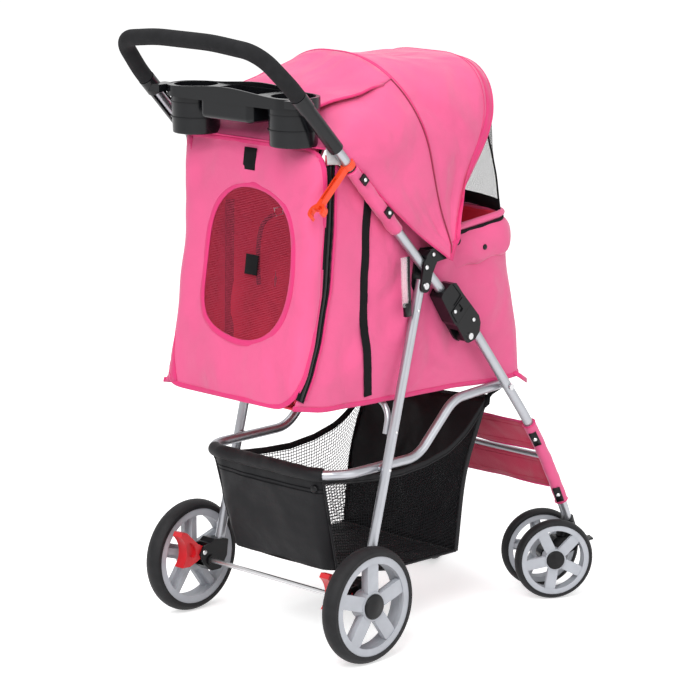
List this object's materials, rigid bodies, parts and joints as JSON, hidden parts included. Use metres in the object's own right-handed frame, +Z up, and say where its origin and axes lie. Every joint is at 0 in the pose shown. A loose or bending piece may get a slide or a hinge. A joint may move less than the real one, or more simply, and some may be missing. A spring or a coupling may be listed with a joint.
{
  "type": "pet stroller",
  "caption": "Folding pet stroller: tubular frame, fabric cabin with folding canopy and mesh window, drink tray, low basket, braked rear wheels and twin swivel castors.",
  "frame": {"origin": "on the floor under the middle of the stroller's length and width", "axes": "+X forward, +Y to the stroller's left, +Z up"},
  "size_m": [0.7812, 0.4584, 1.0042],
  "materials": {
    "frame_steel": "silver-grey paint, satin",
    "bright_steel": "bare pins, rivets and axle",
    "black_plastic": "black moulding, fine texture",
    "tray_plastic": "black moulding, satin",
    "grip_foam": "closed-cell foam, matt",
    "pink_fabric": "woven polyester with a light coating",
    "foot_fabric": "woven polyester",
    "floor_fabric": "padded board under woven cloth",
    "black_fabric": "black woven polyester and mesh",
    "window_mesh": "open knitted mesh",
    "spring_wire": "black-coated spring wire",
    "tyre_foam": "solid foam tyre, matt",
    "rim_plastic": "light grey moulding",
    "red_plastic": "red moulding",
    "clip_plastic": "red-orange moulding"
  },
  "bodies": {
    "front_frame": {"front_leg_right": "frame_steel", "front_leg_left": "frame_steel", "hinge_knuckle_right": "black_plastic", "hinge_knuckle_left": "black_plastic", "castor_socket_right": "black_plastic", "castor_socket_left": "black_plastic", "front_cross_tube": "frame_steel", "foot_panel": "foot_fabric", "basket_pins": "bright_steel"},
    "upper_frame": {"handle_tube": "frame_steel", "handle_grip": "grip_foam", "hinge_housing_right": "black_plastic", "hinge_housing_left": "black_plastic", "fold_pins": "bright_steel", "tube_bracket_right": "black_plastic", "tube_bracket_left": "black_plastic", "bracket_pins": "bright_steel", "hanger_bars": "bright_steel", "tube_sleeves": "pink_fabric", "snap_clips": "black_plastic", "drink_tray": "tray_plastic", "cabin_side_right": "pink_fabric", "cabin_side_left": "pink_fabric", "cabin_front": "pink_fabric", "cabin_floor": "floor_fabric", "canopy": "pink_fabric", "canopy_window": "window_mesh", "front_hoop": "spring_wire"},
    "rear_frame": {"rear_leg_right": "frame_steel", "rear_leg_left": "frame_steel", "axle_housing_right": "black_plastic", "axle_housing_left": "black_plastic", "rear_axle": "bright_steel", "rear_arch": "frame_steel"},
    "basket_frame": {"basket_tube": "frame_steel", "basket": "black_fabric"},
    "lock_sleeve_right": {"lock_sleeve_right": "black_plastic"},
    "lock_sleeve_left": {"lock_sleeve_left": "black_plastic"},
    "storage_clip": {"storage_clip": "clip_plastic"},
    "canopy_bow_front": {"canopy_bow_front": "spring_wire"},
    "canopy_bow_mid": {"canopy_bow_mid": "spring_wire"},
    "rear_door": {"rear_door": "pink_fabric"},
    "brake_lever_right": {"brake_lever_right": "red_plastic"},
    "brake_lever_left": {"brake_lever_left": "red_plastic"},
    "rear_wheel_right": {"rear_tyre_right": "tyre_foam", "rear_rim_right": "rim_plastic"},
    "rear_wheel_left": {"rear_tyre_left": "tyre_foam", "rear_rim_left": "rim_plastic"},
    "castor_right": {"castor_body_right": "black_plastic"},
    "castor_left": {"castor_body_left": "black_plastic"},
    "castor_lever_right": {"castor_lever_right": "black_plastic"},
    "castor_lever_left": {"castor_lever_left": "black_plastic"},
    "castor_wheel_outer_right": {"castor_tyre_outer_right": "tyre_foam", "castor_rim_outer_right": "rim_plastic"},
    "castor_wheel_outer_left": {"castor_tyre_outer_left": "tyre_foam", "castor_rim_outer_left": "rim_plastic"},
    "castor_wheel_inner_right": {"castor_tyre_inner_right": "tyre_foam", "castor_rim_inner_right": "rim_plastic"},
    "castor_wheel_inner_left": {"castor_tyre_inner_left": "tyre_foam", "castor_rim_inner_left": "rim_plastic"}
  },
  "joints": [
    {"name": "fold", "type": "hinge", "parent": "front_frame", "child": "upper_frame", "pos_m": [0.07546, 0, 0.488], "axis": [0, -1, 0], "range_deg": [0, 120], "deforming": ["cabin_side_right", "cabin_side_left", "cabin_front", "cabin_floor", "front_hoop", "rear_door", "canopy_window", "tube_sleeves"]},
    {"name": "rear_leg_fold", "type": "hinge", "parent": "upper_frame", "child": "rear_frame", "pos_m": [-0.02954, 0, 0.585], "axis": [0, 1, 0], "range_deg": [0, 80]},
    {"name": "basket_fold", "type": "hinge", "parent": "front_frame", "child": "basket_frame", "pos_m": [0.18346, 0, 0.385], "axis": [0, -1, 0], "range_deg": [0, 74], "deforming": ["basket"]},
    {"name": "canopy_front", "type": "hinge", "parent": "upper_frame", "child": "canopy_bow_front", "pos_m": [0.02746, 0, 0.631], "axis": [0, -1, 0], "range_deg": [0, 62], "deforming": ["canopy"]},
    {"name": "canopy_mid", "type": "hinge", "parent": "upper_frame", "child": "canopy_bow_mid", "pos_m": [0.02746, 0, 0.631], "axis": [0, -1, 0], "range_deg": [0, 28]},
    {"name": "rear_door_hinge", "type": "hinge", "parent": "upper_frame", "child": "rear_door", "pos_m": [-0.23454, 0, 0.82], "axis": [0, 1, 0], "range_deg": [0, 75]},
    {"name": "lock_sleeve_slide_right", "type": "slide", "parent": "upper_frame", "child": "lock_sleeve_right", "axis": [-0.6858, 0, 0.7278], "range_m": [0, 0.018], "stiffness_N_per_m": 300, "springref_m": -0.01},
    {"name": "brake_right", "type": "hinge", "parent": "rear_frame", "child": "brake_lever_right", "pos_m": [-0.19854, -0.171, 0.111], "axis": [0, -1, 0], "range_deg": [0, 22]},
    {"name": "rear_wheel_spin_right", "type": "hinge", "parent": "rear_frame", "child": "rear_wheel_right", "pos_m": [-0.18454, -0.2056, 0.095], "axis": [0, 1, 0], "continuous": true},
    {"name": "castor_swivel_right", "type": "hinge", "parent": "front_frame", "child": "castor_right", "pos_m": [0.33746, -0.171, 0.098], "axis": [0, 0, 1], "continuous": true},
    {"name": "castor_lock_right", "type": "hinge", "parent": "castor_right", "child": "castor_lever_right", "pos_m": [0.35289, -0.18027, 0.085], "axis": [0.515, 0.8572, 0], "range_deg": [0, 20]},
    {"name": "castor_spin_outer_right", "type": "hinge", "parent": "castor_right", "child": "castor_wheel_outer_right", "pos_m": [0.29066, -0.18675, 0.069], "axis": [0.515, 0.8572, 0], "continuous": true},
    {"name": "castor_spin_inner_right", "type": "hinge", "parent": "castor_right", "child": "castor_wheel_inner_right", "pos_m": [0.32939, -0.12229, 0.069], "axis": [0.515, 0.8572, 0], "continuous": true},
    {"name": "lock_sleeve_slide_left", "type": "slide", "parent": "upper_frame", "child": "lock_sleeve_left", "axis": [-0.6858, 0, 0.7278], "range_m": [0, 0.018], "stiffness_N_per_m": 300, "springref_m": -0.01},
    {"name": "brake_left", "type": "hinge", "parent": "rear_frame", "child": "brake_lever_left", "pos_m": [-0.19854, 0.171, 0.111], "axis": [0, -1, 0], "range_deg": [0, 22]},
    {"name": "rear_wheel_spin_left", "type": "hinge", "parent": "rear_frame", "child": "rear_wheel_left", "pos_m": [-0.18454, 0.2056, 0.095], "axis": [0, 1, 0], "continuous": true},
    {"name": "castor_swivel_left", "type": "hinge", "parent": "front_frame", "child": "castor_left", "pos_m": [0.33746, 0.171, 0.098], "axis": [0, 0, 1], "continuous": true},
    {"name": "castor_lock_left", "type": "hinge", "parent": "castor_left", "child": "castor_lever_left", "pos_m": [0.35289, 0.18027, 0.085], "axis": [-0.515, 0.8572, 0], "range_deg": [0, 20]},
    {"name": "castor_spin_outer_left", "type": "hinge", "parent": "castor_left", "child": "castor_wheel_outer_left", "pos_m": [0.29066, 0.18675, 0.069], "axis": [-0.515, 0.8572, 0], "continuous": true},
    {"name": "castor_spin_inner_left", "type": "hinge", "parent": "castor_left", "child": "castor_wheel_inner_left", "pos_m": [0.32939, 0.12229, 0.069], "axis": [-0.515, 0.8572, 0], "continuous": true},
    {"name": "storage_clip_swing", "type": "hinge", "parent": "upper_frame", "child": "storage_clip", "pos_m": [-0.19452, -0.171, 0.79695], "axis": [-0.6858, 0, 0.7278], "range_deg": [0, 90]}
  ],
  "couplings": [
    {"joint": "rear_leg_fold", "follows": "fold", "ratio": 0.6518},
    {"joint": "basket_fold", "follows": "fold", "ratio": 0.6012},
    {"joint": "canopy_mid", "follows": "canopy_front", "ratio": 0.4355}
  ]
}
